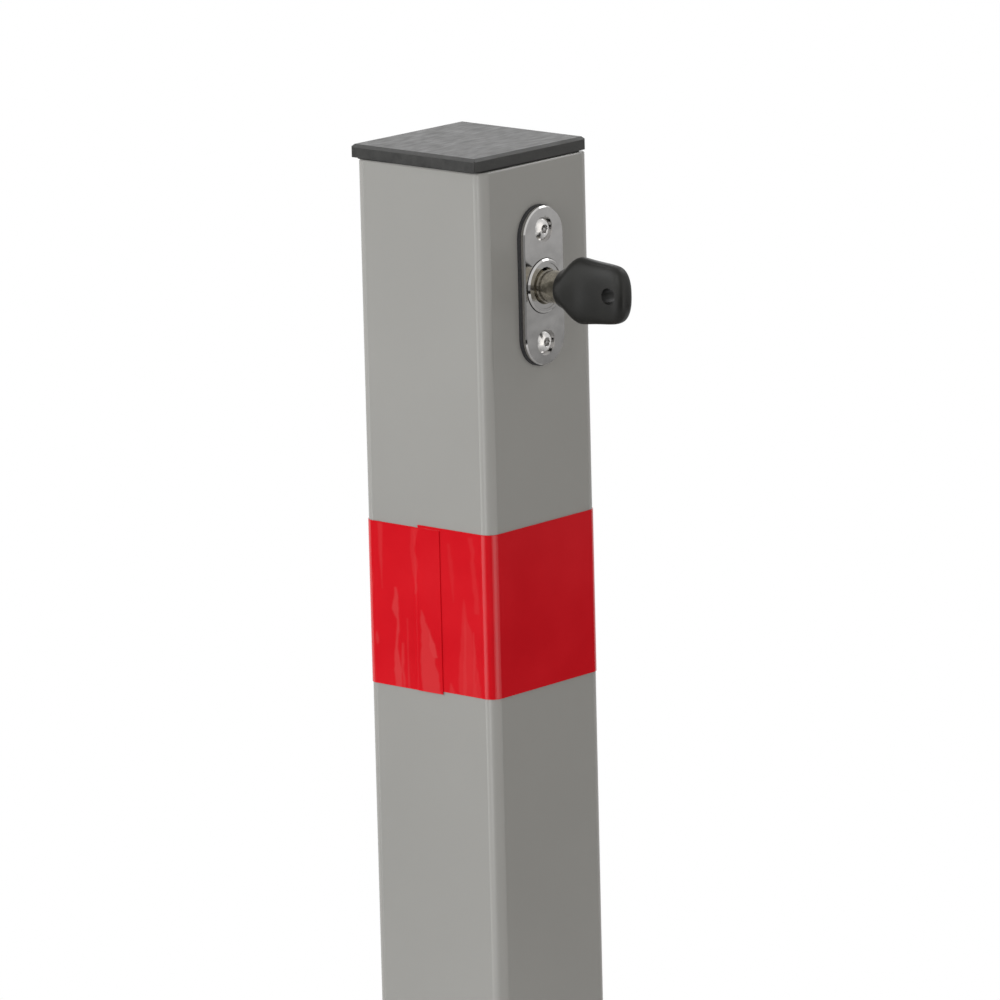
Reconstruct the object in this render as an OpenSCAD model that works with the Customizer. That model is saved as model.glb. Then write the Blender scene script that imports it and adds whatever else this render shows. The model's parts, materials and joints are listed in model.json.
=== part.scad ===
/* [Post] */
// Height of the standing post above the ground
post_h = 700; // [560:10:900]
// Width of the square tube
tube_w = 50; // [50:0.5:52]
// Wall of the square tube
tube_wall = 2; // [1.5:0.1:2.2]
// Outside radius along the tube's corners
tube_r = 3.5; // [2.5:0.1:4]

/* [Top cap] */
// Thickness of the cap's visible plate
cap_plate_t = 4; // [3:0.1:6]
// Shadow gap between the cap's plate and the tube's rim
cap_gap = 0.5; // [0.3:0.1:1.5]
// Chamfer round the top edge of the cap
cap_chamfer = 0.9; // [0.2:0.1:1.2]
// Depth of the plug that goes into the tube
cap_plug_h = 14; // [10:1:14]
// Number of flexible fins on the plug
cap_fins = 3; // [2:1:4]
// How far the cap sits off centre, left to right
cap_shift_x = -0.65; // [-0.7:0.05:0.7]
// How far the cap sits off centre, front to back
cap_shift_y = 0.76; // [-0.8:0.02:0.8]
// Turn of the cap on the tube
cap_turn = -1.5; // [-1.5:0.1:1.5]

/* [Tape] */
// Width of the reflective tape
tape_w = 50.4; // [40:0.2:80]
// Thickness of the tape
tape_t = 0.3; // [0.2:0.05:0.5]
// Distance from the tube's rim down to the tape at the front left corner
tape_drop = 109.6; // [80:0.2:200]
// Where the tape starts on the left face, behind the middle of the face
tape_start = 3.5; // [2:0.5:6]
// Where the tape ends over itself, in front of the middle of the face
tape_end = 5.2; // [2:0.1:8]
// How much lower the tape comes back after one turn
tape_creep = 0.85; // [0:0.05:1.5]

/* [Lock plate] */
// Distance from the tube's rim down to the lock's axis
lock_drop = 37.1; // [36:0.1:60]
// Width of the lock plate
plate_w = 18.2; // [18:0.1:20]
// Height of the lock plate
plate_h = 48.3; // [46:0.1:52]
// Thickness of the lock plate
plate_t = 1.5; // [1.2:0.1:2]
// Thickness of the gasket behind the plate
gasket_t = 1; // [0.8:0.1:1.5]
// Distance between the two plate screws
screw_gap = 34.3; // [33:0.1:36]

/* [Lock] */
// Diameter of the round lock front
lock_d = 16.4; // [16:0.1:17]
// How far the lock front stands proud of the plate
lock_proud = 0.8; // [0.5:0.1:1.5]
// Diameter of the turning plug
plug_d = 12; // [11.8:0.1:12.2]
// Throw of the crank, from the plug's axis to the crank pin
crank_r = 8; // [7:0.5:8]
// Diameter of the crank pin
crank_pin_d = 5; // [4:0.5:5]

/* [Key] */
// Outside diameter of the tubular key
key_d = 10; // [9.5:0.1:10.2]
// Length of barrel seen between the plate and the grip
key_reach = 7.5; // [6:0.5:10]
// Length of the moulded grip
bow_len = 24.7; // [22:0.1:30]
// Height of the moulded grip at its shoulders
bow_h = 20.4; // [18:0.2:24]
// Thickness of the moulded grip
bow_t = 7; // [6:0.2:8]

/* [Rod] */
// Diameter of the long rod
rod_d = 8; // [7:0.5:8]
// Diameter of the bolt at the foot of the rod
bolt_d = 10; // [9:0.5:10]
// Distance of the rod in front of the tube's middle
rod_front = 2; // [2:0.1:2.5]

/* [Base] */
// Width of the base plate
base_w = 120; // [110:5:160]
// Depth of the base plate
base_d = 160; // [150:5:200]
// Thickness of the base plate and of the cheeks
steel_t = 5; // [4:0.5:6]
// Diameter of the four anchor holes
anchor_d = 12; // [9:1:14]
// Distance between the anchor holes, left to right
anchor_x = 90; // [88:1:100]
// Distance between the anchor holes, front to back
anchor_y = 130; // [110:1:135]
// Height of the pivot above the ground
pivot_z = 35; // [34:1:38]
// Distance of the pivot behind the tube's middle
pivot_back = 12; // [12:0.5:12.5]

/* [Hidden] */
$fn = 64;

// Colours
grey_paint = [0.64, 0.64, 0.62];
tape_red = [0.82, 0.08, 0.11];
black_plastic = [0.16, 0.16, 0.16];
nylon = [0.86, 0.85, 0.80];
zinc = [0.72, 0.73, 0.74];
chrome = [0.86, 0.86, 0.87];
nickel = [0.70, 0.67, 0.60];

// A little more than nothing, so that a cut goes right through
eps = 0.01;
// Gap between a press fitted piece and the wall round it
seat = 0.02;
// Radial gap of a running fit
running = 0.05;

// Small screws: thread, clearance hole, countersunk head and hexagon socket
screw_d = 4;
screw_hole_d = 4.5;
csk_head_d = 8;
hex_socket_d = 2.5 / cos(30);

// Levels
keeper_h = 10;
foot_z = steel_t + keeper_h;
rim_z = post_h - cap_plate_t - cap_gap;
tube_len = rim_z - foot_z;
lock_z = rim_z - lock_drop;

// Tube
half = tube_w / 2;
bore_w = tube_w - 2 * tube_wall;
bore_r = tube_r - tube_wall + 0.1;
rim_chamfer = 0.5;
front_y = -half;
inner_y = front_y + tube_wall;

// Pivot
shank_d = 10;
sleeve_d = 14;
sleeve_bore_d = shank_d + 0.2;
bush_d = 17;
bush_flange_d = 19;
bush_flange_t = 0.9;
bush_len = 5;
side_gap = 1;
cheek_x = half + side_gap;
cheek_top_r = 20;
cheek_front = 30;
cheek_back = 38;
cheek_edge_h = 8;
shank_hole_d = shank_d + 0.5;
washer_d = 20;
washer_t = 2;
hex_af = 16;
head_h = 6.4;
nut_h = 8;
nut_collar_h = 2.2;
bolt_out = 3;

// Keeper bar, behind which the bolt drops
keeper_gap = 1;
keeper_back_y = -rod_front - bolt_d / 2 - keeper_gap;
keeper_front_y = front_y + 1;

// Guides
guide_h = 11;
guide_z = foot_z + guide_h / 2;
guide_screw_len = 11;
mid_guide_h = 12;
mid_guide_z = foot_z + tube_len * 0.46;

// Lock, along the Y axis
lock_hole_d = lock_d + 0.4;
plate_y = front_y - gasket_t - plate_t;
button_r = 3.5;
button_sink = 0.8;
nose_y = plate_y - lock_proud;
face_y = nose_y + 0.4;
flange_t = 3;
flange_y = inner_y + flange_t;
housing_y = -12.5;
cam_y = housing_y + 0.5;
cam_t = 2.5;
yoke_y = -rod_front - rod_d / 2 - 1;
yoke_t = 3;
flat_y = yoke_y + yoke_t;
plug_head_d = plug_d + 1.8;
plug_head_l = 1.6;
ring_out_r = key_d / 2 + 0.08;
ring_in_r = key_d / 2 - 1.08;
ring_floor_y = -19;
tail_r = 3;
tail_flat = 2.2;
cam_screw_d = 3;
cam_screw_tip_y = -14.8;
tumblers = 7;
tumbler_d = 0.9;
lug_w = 1.6;
lug_h = 0.5;

// Rest position of the crank, a quarter turn before the locked one
crank_rest = 45;
slot_z = lock_z + crank_r * sin(crank_rest);
slot_len = 24;
slot_h = crank_pin_d + 1.1;

// Rod and bolt
bolt_tip_z = foot_z + 2.5;
bolt_len = 47.5;
bolt_top_z = bolt_tip_z + bolt_len;
socket_depth = 12;
rod_top_z = slot_z - 9;
rod_flat_len = 34;
bolt_pin_d = 3;
rivet_d = 4;
rivet_drop = [16, 28];

// Key
key_tip_y = ring_floor_y - 1;
bow_y = plate_y - key_reach;
barrel_tail_y = bow_y - 3;
tang_d = 5;
tang_y = bow_y - 11;
ring_hole_d = 5;
ring_inset = 5;

// A square with round corners, centred
module rounded_square(w, d, r) {
    square([w - 2 * r, d], center = true);
    square([w, d - 2 * r], center = true);
    for (x = [-1, 1], y = [-1, 1])
        translate([x * (w / 2 - r), y * (d / 2 - r)])
            circle(r);
}

// A bar on a rounded square whose top edge is chamfered all round
module chamfered_bar(w, r, h, c) {
    e = w / 2;
    linear_extrude(h - c)
        rounded_square(w, w, r);
    translate([0, 0, h - c]) {
        for (turn = [0, 90])
            rotate([90, 0, turn])
                translate([0, 0, r - e])
                    linear_extrude(w - 2 * r)
                        polygon([[-e, 0], [e, 0], [e - c, c], [c - e, c]]);
        for (x = [-1, 1], y = [-1, 1])
            translate([x * (e - r), y * (e - r), 0])
                cylinder(r1 = r, r2 = r - c, h = c);
    }
}

// An upright obround outline, centred
module obround(w, h) {
    square([w, h - w], center = true);
    for (s = [-1, 1])
        translate([0, s * (h - w) / 2])
            circle(d = w);
}

// Turns an outline drawn in X and Z into a sheet that starts at depth y and goes back
module sheet_xz(y, t) {
    translate([0, y + t, 0])
        rotate([90, 0, 0])
            linear_extrude(t)
                children();
}

// A round bar along Y, from depth y0 to y1
module bar_y(d, y0, y1) {
    translate([0, y0, 0])
        rotate([-90, 0, 0])
            cylinder(d = d, h = y1 - y0);
}

// A round bar along X, from x0 to x1
module bar_x(d, x0, x1) {
    translate([x0, 0, 0])
        rotate([0, 90, 0])
            cylinder(d = d, h = x1 - x0);
}

// Places its children at the pivot's axis
module at_pivot() {
    translate([0, pivot_back, pivot_z])
        children();
}

// Places its children on the lock's axis
module at_lock() {
    translate([0, 0, lock_z])
        children();
}

// Places its children at both plate screws
module at_plate_screws() {
    for (s = [-1, 1])
        translate([0, 0, lock_z + s * screw_gap / 2])
            children();
}

// Hexagon bar along X with its corners turned off at the far end
module hex_x(af, x0, x1) {
    d = af / cos(30);
    translate([x0, 0, 0])
        rotate([0, 90, 0])
            intersection() {
                cylinder(d = d, h = x1 - x0, $fn = 6);
                union() {
                    cylinder(d = d + 1, h = x1 - x0 - 1);
                    translate([0, 0, x1 - x0 - 1])
                        cylinder(d1 = d + 1, d2 = af - 1.2, h = 1);
                }
            }
}

module base_plate() {
    corner_r = 8;
    color(grey_paint)
        linear_extrude(steel_t)
            difference() {
                rounded_square(base_w, base_d, corner_r);
                for (x = [-1, 1], y = [-1, 1])
                    translate([x * anchor_x / 2, y * anchor_y / 2])
                        circle(d = anchor_d);
            }
}

// Where a line from a point touches a circle, on the left (-1) or the right (1) of it
function touch(centre, r, point, side) =
    let (to = point - centre, turn = atan2(to.y, to.x) + side * acos(r / norm(to)))
    centre + r * [cos(turn), sin(turn)];

// Side of a cheek: straight flanks that run up as tangents of the round top
module cheek_outline() {
    top = [pivot_back, pivot_z - steel_t];
    front = [-cheek_front, cheek_edge_h];
    back = [cheek_back, cheek_edge_h];
    polygon([[-cheek_front, 0], [cheek_back, 0], back, touch(top, cheek_top_r, back, 1), top,
             touch(top, cheek_top_r, front, -1), front]);
    translate(top)
        circle(cheek_top_r);
}

module cheek(side) {
    x0 = side > 0 ? cheek_x : -cheek_x - steel_t;
    color(grey_paint)
        difference() {
            translate([x0, 0, steel_t])
                rotate([90, 0, 90])
                    linear_extrude(steel_t)
                        cheek_outline();
            at_pivot()
                bar_x(shank_hole_d, x0 - 1, x0 + steel_t + 1);
        }
}

module cheek_left() {
    cheek(-1);
}

module cheek_right() {
    cheek(1);
}

module keeper_bar() {
    color(grey_paint)
        translate([-cheek_x, keeper_front_y, steel_t])
            cube([2 * cheek_x, keeper_back_y - keeper_front_y, keeper_h]);
}

// Fillet welds along the outer foot of both cheeks and along the front of the keeper bar
module base_welds() {
    leg = 4;
    // Where the weld's face bulges out, between its two toes
    crown = 0.62 * leg;
    // How far a weld stops short of the ends of its seam
    cheek_stop = 2;
    keeper_stop = 3;
    color(grey_paint)
        translate([0, 0, steel_t]) {
            for (s = [0, 1])
                mirror([s, 0, 0])
                    translate([cheek_x + steel_t, cheek_back - cheek_stop, 0])
                        rotate([90, 0, 0])
                            linear_extrude(cheek_front + cheek_back - 2 * cheek_stop)
                                polygon([[0, 0], [leg, 0], [crown, crown], [0, leg]]);
            translate([keeper_stop - cheek_x, keeper_front_y, 0])
                rotate([90, 0, 90])
                    linear_extrude(2 * (cheek_x - keeper_stop))
                        polygon([[0, 0], [0, leg], [-crown, crown], [-leg, 0]]);
        }
}

module pivot_bolt() {
    head_x = -cheek_x - steel_t - washer_t;
    end_x = cheek_x + steel_t + washer_t + nut_h + nut_collar_h + bolt_out;
    tip = 1;
    color(zinc)
        at_pivot() {
            mirror([1, 0, 0])
                hex_x(hex_af, -head_x, -head_x + head_h);
            bar_x(shank_d, head_x - eps, end_x - tip);
            translate([end_x - tip, 0, 0])
                rotate([0, 90, 0])
                    cylinder(d1 = shank_d, d2 = shank_d - 2 * tip, h = tip);
        }
}

module pivot_nut() {
    x0 = cheek_x + steel_t + washer_t;
    collar_d = hex_af - 1.4;
    color(zinc)
        at_pivot()
            difference() {
                union() {
                    hex_x(hex_af, x0, x0 + nut_h);
                    translate([x0 + nut_h - eps, 0, 0])
                        rotate([0, 90, 0])
                            cylinder(d1 = collar_d, d2 = collar_d - nut_collar_h, h = nut_collar_h + eps);
                }
                bar_x(shank_d + 2 * seat, x0 - 1, x0 + nut_h + nut_collar_h + 1);
            }
}

module pivot_washers() {
    color(zinc)
        at_pivot()
            for (x0 = [-cheek_x - steel_t - washer_t, cheek_x + steel_t])
                difference() {
                    bar_x(washer_d, x0, x0 + washer_t);
                    bar_x(shank_hole_d, x0 - 1, x0 + washer_t + 1);
                }
}

// Spacer that the bolt clamps between the cheeks and that the bushes turn on
module pivot_sleeve() {
    color(zinc)
        at_pivot()
            difference() {
                bar_x(sleeve_d, -cheek_x, cheek_x);
                bar_x(sleeve_bore_d, -cheek_x - 1, cheek_x + 1);
            }
}

// Conical hole in the front wall (s = 1) or the back wall (s = -1)
module countersunk_hole(s) {
    translate([0, s * front_y, 0])
        rotate([s * 90, 0, 0])
            translate([0, 0, -tube_wall])
                cylinder(d1 = screw_d + 2 * seat, d2 = csk_head_d + 2 * seat, h = tube_wall + eps);
}

module post_tube() {
    color(grey_paint)
        difference() {
            translate([0, 0, foot_z])
                chamfered_bar(tube_w, tube_r, tube_len, rim_chamfer);
            translate([0, 0, foot_z - 1])
                linear_extrude(tube_len + 2)
                    rounded_square(bore_w, bore_w, bore_r);
            at_lock()
                bar_y(lock_hole_d, front_y - 1, inner_y + 1);
            at_plate_screws()
                bar_y(screw_hole_d, front_y - 1, inner_y + 1);
            at_pivot()
                bar_x(bush_d, -half - 1, half + 1);
            translate([0, 0, guide_z])
                for (s = [-1, 1])
                    countersunk_hole(s);
        }
}

// Flanged bushes in the tube's side walls
module pivot_bushes() {
    color(nylon)
        at_pivot()
            for (s = [0, 1])
                mirror([s, 0, 0])
                    difference() {
                        union() {
                            bar_x(bush_d - 2 * seat, half - bush_len, half + eps);
                            bar_x(bush_flange_d, half, half + bush_flange_t);
                        }
                        bar_x(sleeve_d + 2 * running, half - bush_len - 1, half + side_gap + 1);
                    }
}

// Block that closes the tube's foot and steers the bolt
module guide_block() {
    side = bore_w - 2 * seat;
    pocket = 9;
    pocket_x = 14;
    pocket_y = 13;
    floor_t = 3;
    color(black_plastic)
        difference() {
            translate([0, 0, foot_z])
                linear_extrude(guide_h)
                    rounded_square(side, side, bore_r + 0.3);
            translate([0, -rod_front, foot_z - 1])
                cylinder(d = bolt_d + 2 * running, h = guide_h + 2);
            // Pockets that keep the moulding's walls even
            for (x = [-1, 1], y = [-1, 1])
                translate([x * pocket_x, y * pocket_y, foot_z + floor_t])
                    linear_extrude(guide_h)
                        rounded_square(pocket, pocket, 1.5);
            for (s = [0, 1])
                mirror([0, s, 0])
                    translate([0, 0, guide_z])
                        bar_y(screw_d - 2 * seat, front_y, inner_y + guide_screw_len + 1);
        }
}

// Countersunk screw that points along its own minus Z from a flush head with a hexagon socket
module countersunk_screw() {
    socket_t = 1.4;
    difference() {
        union() {
            translate([0, 0, -tube_wall])
                cylinder(d1 = screw_d, d2 = csk_head_d, h = tube_wall);
            translate([0, 0, -guide_screw_len])
                cylinder(d = screw_d - 4 * seat, h = guide_screw_len - tube_wall + eps);
        }
        translate([0, 0, -socket_t])
            cylinder(d = hex_socket_d, h = socket_t + 1, $fn = 6);
    }
}

module guide_screws() {
    color(zinc)
        for (s = [-1, 1])
            translate([0, s * front_y, guide_z])
                rotate([s * 90, 0, 0])
                    countersunk_screw();
}

// Spider halfway up the tube that keeps the long rod from rattling
module rod_guide() {
    side = bore_w - 2 * seat;
    web = 3;
    hub_wall = 4;
    color(nylon)
        translate([0, 0, mid_guide_z - mid_guide_h / 2])
            difference() {
                linear_extrude(mid_guide_h) {
                    difference() {
                        rounded_square(side, side, bore_r + 0.3);
                        rounded_square(side - 2 * web, side - 2 * web, 1);
                    }
                    translate([0, -rod_front])
                        circle(d = rod_d + 2 * hub_wall);
                    square([side - web, web], center = true);
                    square([web, side - web], center = true);
                }
                translate([0, -rod_front, -1])
                    cylinder(d = rod_d + 2 * running, h = mid_guide_h + 2);
            }
}

// Drop of the tape's edge after s millimetres of flat run
function tape_fall(s) = tape_creep * s / (4 * tape_flat);
tape_flat = tube_w - 2 * tube_r;
tape_stub = 0.5;
tape_run_1 = tape_flat / 2 + tape_start;
tape_top = rim_z - tape_drop + tape_fall(tape_run_1);

// One flat run on the front face, from x0 to x1, that has fallen by f0 and f1 at its ends
module tape_run(x0, x1, f0, f1, lift = 0) {
    sheet_xz(front_y - tape_t - lift, tape_t)
        polygon([[x0, tape_top - f0], [x1, tape_top - f1],
                 [x1, tape_top - tape_w - f1], [x0, tape_top - tape_w - f0]]);
}

// One wrap round the corner at the right end of the front face, with a short straight stub each way
module tape_corner(f) {
    e = tape_flat / 2;
    translate([e, -e, tape_top - tape_w - f])
        linear_extrude(tape_w) {
            intersection() {
                difference() {
                    circle(tube_r + tape_t);
                    circle(tube_r);
                }
                translate([0, -2 * tube_r])
                    square(2 * tube_r);
            }
            translate([-tape_stub, -tube_r - tape_t])
                square([tape_stub, tape_t]);
            translate([tube_r, 0])
                square([tape_t, tape_stub]);
        }
}

// One turn of tape that starts on the left face and ends there over its own start
module red_tape() {
    e = tape_flat / 2 - tape_stub;
    color(tape_red) {
        rotate([0, 0, 270]) {
            tape_run(-tape_start, e, 0, tape_fall(tape_run_1));
            tape_corner(tape_fall(tape_run_1));
        }
        for (k = [0:2]) {
            f0 = tape_fall(tape_run_1 + k * tape_flat);
            f1 = tape_fall(tape_run_1 + (k + 1) * tape_flat);
            rotate([0, 0, k * 90]) {
                tape_run(-e, e, f0, f1);
                tape_corner(f1);
            }
        }
        f3 = tape_fall(tape_run_1 + 3 * tape_flat);
        // The end steps up over the start, and its edges run level there
        rotate([0, 0, 270]) {
            tape_run(-e, -tape_start - tape_t, f3, tape_creep);
            tape_run(-tape_start - 4 * tape_t, tape_end, tape_creep, tape_creep, tape_t);
        }
    }
}

// Cap: chamfered plate, a step that makes the shadow gap, a hollow plug and its flexible fins
module top_cap() {
    w = tube_w;
    corner_r = 0.8;
    step_in = 0.9;
    skirt = bore_w - 7;
    skirt_r = 3;
    skirt_wall = 2;
    fin_t = 0.9;
    color(black_plastic) {
        translate([cap_shift_x, cap_shift_y, rim_z])
            rotate([0, 0, cap_turn]) {
                translate([0, 0, cap_gap])
                    intersection() {
                        linear_extrude(cap_plate_t)
                            rounded_square(w, w, corner_r);
                        translate([-w, 0, 0])
                            rotate([90, 0, 90])
                                linear_extrude(2 * w)
                                    cap_profile(w);
                        translate([0, w, 0])
                            rotate([90, 0, 0])
                                linear_extrude(2 * w)
                                    cap_profile(w);
                    }
                linear_extrude(cap_gap + eps)
                    rounded_square(w - 2 * step_in, w - 2 * step_in, 2);
                difference() {
                    translate([0, 0, -cap_plug_h])
                        linear_extrude(cap_plug_h + eps)
                            rounded_square(skirt, skirt, skirt_r);
                    translate([0, 0, -cap_plug_h - 1])
                        linear_extrude(cap_plug_h)
                            rounded_square(skirt - 2 * skirt_wall, skirt - 2 * skirt_wall,
                                           skirt_r - skirt_wall);
                }
            }
        // The fins bend to the tube's bore, wherever the plate sits
        translate([0, 0, rim_z])
            for (k = [1:cap_fins])
                translate([0, 0, -k * cap_plug_h / (cap_fins + 0.5)])
                    linear_extrude(fin_t)
                        difference() {
                            rounded_square(bore_w - 2 * seat, bore_w - 2 * seat, bore_r + 0.4);
                            translate([cap_shift_x, cap_shift_y])
                                rotate(cap_turn)
                                    square(skirt - skirt_wall, center = true);
                        }
    }
}

// Side view of the cap's plate, chamfered at the top
module cap_profile(w) {
    c = cap_chamfer;
    t = cap_plate_t;
    polygon([[-w / 2, 0], [w / 2, 0], [w / 2, t - c], [w / 2 - c, t], [-w / 2 + c, t], [-w / 2, t - c]]);
}

module lock_gasket() {
    rim = 0.3;
    color(black_plastic)
        difference() {
            at_lock()
                sheet_xz(front_y - gasket_t, gasket_t)
                    obround(plate_w + 2 * rim, plate_h + 2 * rim);
            at_lock()
                bar_y(lock_hole_d, plate_y - 1, front_y + 1);
            at_plate_screws()
                bar_y(screw_hole_d, plate_y - 1, front_y + 1);
        }
}

// Polished plate with a bevelled edge, a round window for the lock and two screw seats
module lock_plate() {
    bevel = 0.4;
    straight = plate_h - plate_w;
    screw_seat_d = 2 * button_r + 1;
    color(chrome)
        difference() {
            at_lock() {
                sheet_xz(plate_y + bevel, plate_t - bevel)
                    obround(plate_w, plate_h);
                for (s = [-1, 1])
                    translate([0, plate_y, s * straight / 2])
                        rotate([-90, 0, 0])
                            cylinder(d1 = plate_w - 2 * bevel, d2 = plate_w, h = bevel + eps);
                translate([0, 0, -straight / 2])
                    linear_extrude(straight)
                        polygon([[-plate_w / 2 + bevel, plate_y], [plate_w / 2 - bevel, plate_y],
                                 [plate_w / 2, plate_y + bevel], [-plate_w / 2, plate_y + bevel]]);
            }
            at_lock()
                bar_y(lock_hole_d, plate_y - 1, front_y + 1);
            at_plate_screws() {
                bar_y(screw_hole_d, plate_y - 1, front_y + 1);
                bar_y(screw_seat_d, plate_y - 1, plate_y + button_sink);
            }
        }
}

// Low button head screw with a pinned hexagon socket, along Y
module button_screw() {
    seat_y = plate_y + button_sink;
    head_t = 1.4;
    dome_r = (button_r * button_r + head_t * head_t) / (2 * head_t);
    mouth_t = 0.4;
    pin_d = 0.9;
    difference() {
        union() {
            translate([0, seat_y, 0])
                rotate([90, 0, 0])
                    intersection() {
                        cylinder(r = button_r, h = head_t);
                        translate([0, 0, head_t - dome_r])
                            sphere(dome_r);
                    }
            bar_y(screw_d - 2 * seat, seat_y - eps, flange_y + 1);
        }
        translate([0, seat_y, 0])
            rotate([90, 0, 0])
                cylinder(d = hex_socket_d, h = head_t + 1, $fn = 6);
        translate([0, seat_y - head_t - eps, 0])
            rotate([-90, 0, 0])
                cylinder(d1 = hex_socket_d + 2 * mouth_t, d2 = hex_socket_d - mouth_t, h = mouth_t);
    }
    // The pin that keeps a plain key out
    bar_y(pin_d, seat_y - head_t + mouth_t, seat_y + eps);
}

module lock_plate_screws() {
    color(zinc)
        at_plate_screws()
            button_screw();
}

// Die-cast housing: nose through the wall, flange behind it for the plate screws, barrel
module lock_housing() {
    edge = 0.5;
    flange_w = plate_w + 2;
    flange_h = screw_gap + 9;
    color(chrome)
        at_lock()
            difference() {
                union() {
                    bar_y(lock_d, nose_y + edge, housing_y);
                    translate([0, nose_y, 0])
                        rotate([-90, 0, 0])
                            cylinder(d1 = lock_d - 2 * edge, d2 = lock_d, h = edge + eps);
                    sheet_xz(inner_y, flange_t)
                        obround(flange_w, flange_h);
                }
                bar_y(plug_d + 2 * running, nose_y - 1, housing_y + 1);
                bar_y(plug_head_d + 2 * running, nose_y - 1, face_y + plug_head_l + 0.05);
                for (s = [-1, 1])
                    translate([0, 0, s * screw_gap / 2])
                        bar_y(screw_d + 2 * seat, inner_y - 1, flange_y + 1);
            }
}

// Two flats on a round tail, as an outline
module double_d(r, flat) {
    intersection() {
        circle(r);
        square([2 * flat, 3 * r], center = true);
    }
}

// Turning plug with its ring shaped keyway and the notch for the key's lug
module lock_plug() {
    notch_w = lug_w + 0.4;
    notch_low = ring_in_r + 0.2;
    notch_high = key_d / 2 + lug_h + 0.15;
    mouth = 0.5;
    color(chrome)
        at_lock()
            difference() {
                union() {
                    bar_y(plug_head_d, face_y, face_y + plug_head_l);
                    bar_y(plug_d, face_y, cam_y);
                    sheet_xz(cam_y - eps, cam_t + eps)
                        double_d(tail_r, tail_flat);
                }
                difference() {
                    bar_y(2 * ring_out_r, face_y - 1, ring_floor_y);
                    bar_y(2 * ring_in_r, face_y - 2, ring_floor_y + 1);
                }
                translate([0, face_y - eps, 0])
                    rotate([-90, 0, 0])
                        cylinder(r1 = ring_out_r + mouth, r2 = ring_out_r - eps, h = mouth);
                translate([-notch_w / 2, face_y - 1, notch_low])
                    cube([notch_w, ring_floor_y - face_y + 1, notch_high - notch_low]);
                bar_y(cam_screw_d + 2 * seat, cam_screw_tip_y - 0.2, cam_y + cam_t + 1);
            }
}

// Spring pins in the floor of the keyway
module tumbler_pins() {
    color(zinc)
        at_lock()
            for (k = [0:tumblers - 1])
                rotate([0, (k + 0.5) * 360 / tumblers, 0])
                    translate([0, 0, (ring_out_r + ring_in_r) / 2])
                        bar_y(tumbler_d, ring_floor_y - 0.6, ring_floor_y);
}

// Cam outline seen from the back, with its arm at the rest angle
module cam_outline() {
    hub_r = 6.5;
    arm_r = 4.5;
    circle(hub_r);
    rotate(crank_rest) {
        translate([0, -arm_r])
            square([crank_r, 2 * arm_r]);
        translate([crank_r, 0])
            circle(arm_r);
    }
}

module cam() {
    color(zinc)
        at_lock()
            difference() {
                sheet_xz(cam_y, cam_t)
                    cam_outline();
                sheet_xz(cam_y - 1, cam_t + 2)
                    double_d(tail_r + seat, tail_flat + seat);
                rotate([0, -crank_rest, 0])
                    translate([crank_r, 0, 0])
                        bar_y(crank_pin_d + 2 * seat, cam_y - 1, cam_y + cam_t + 1);
            }
}

module crank_pin() {
    tip = 0.6;
    color(zinc)
        at_lock()
            rotate([0, -crank_rest, 0])
                translate([crank_r, 0, 0]) {
                    bar_y(crank_pin_d, cam_y, flat_y + 1);
                    translate([0, flat_y + 1 - eps, 0])
                        rotate([-90, 0, 0])
                            cylinder(d1 = crank_pin_d, d2 = crank_pin_d - 2 * tip, h = tip);
                }
}

module cam_screw() {
    back_y = cam_y + cam_t;
    head_d = 6.4;
    head_t = 1.2;
    dome_t = 0.6;
    slot_w = 1;
    color(zinc)
        at_lock()
            difference() {
                union() {
                    bar_y(cam_screw_d, cam_screw_tip_y, back_y + eps);
                    bar_y(head_d, back_y, back_y + head_t);
                    translate([0, back_y + head_t - eps, 0])
                        rotate([-90, 0, 0])
                            cylinder(d1 = head_d, d2 = head_d - 3 * dome_t, h = dome_t);
                }
                translate([-slot_w / 2, back_y + head_t - 0.2, -head_d])
                    cube([slot_w, 2, 2 * head_d]);
            }
}

// Long rod with a milled flat for the yoke at its top
module lock_rod() {
    r = rod_d / 2;
    color(zinc)
        translate([0, -rod_front, 0])
            difference() {
                translate([0, 0, bolt_top_z - socket_depth])
                    cylinder(r = r, h = rod_top_z - bolt_top_z + socket_depth);
                translate([-r - 1, -r - 1, rod_top_z - rod_flat_len])
                    cube([2 * r + 2, r + 1 + rod_front + flat_y, rod_flat_len + 1]);
                for (drop = rivet_drop)
                    translate([0, 0, slot_z - drop])
                        bar_y(rivet_d + 2 * seat, -r - 1, r + 1);
                translate([0, 0, bolt_top_z - socket_depth / 2])
                    bar_x(bolt_pin_d + 2 * seat, -r - 1, r + 1);
            }
}

// Slotted head that the crank pin drives, on a stem that is riveted to the rod
module yoke() {
    side_wall = 4;
    head_up = slot_h / 2 + 3.5;
    stem_w = 10;
    stem_len = 33;
    round_r = 3;
    color(zinc)
        difference() {
            translate([0, 0, slot_z])
                sheet_xz(yoke_y, yoke_t)
                    difference() {
                        union() {
                            rounded_square(slot_len + 2 * side_wall, 2 * head_up, round_r);
                            translate([-stem_w / 2, -stem_len])
                                square([stem_w, stem_len - slot_h / 2]);
                            // Round shoulders between the head and the stem
                            for (s = [-1, 1])
                                translate([s * (stem_w / 2 + round_r), -head_up - round_r])
                                    difference() {
                                        translate([-s * round_r / 2, round_r / 2 + 0.1])
                                            square(round_r, center = true);
                                        circle(round_r);
                                    }
                        }
                        rotate(90)
                            obround(slot_h, slot_len);
                    }
            for (drop = rivet_drop)
                translate([0, 0, slot_z - drop])
                    bar_y(rivet_d + 2 * seat, yoke_y - 1, flat_y + 1);
        }
}

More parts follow.
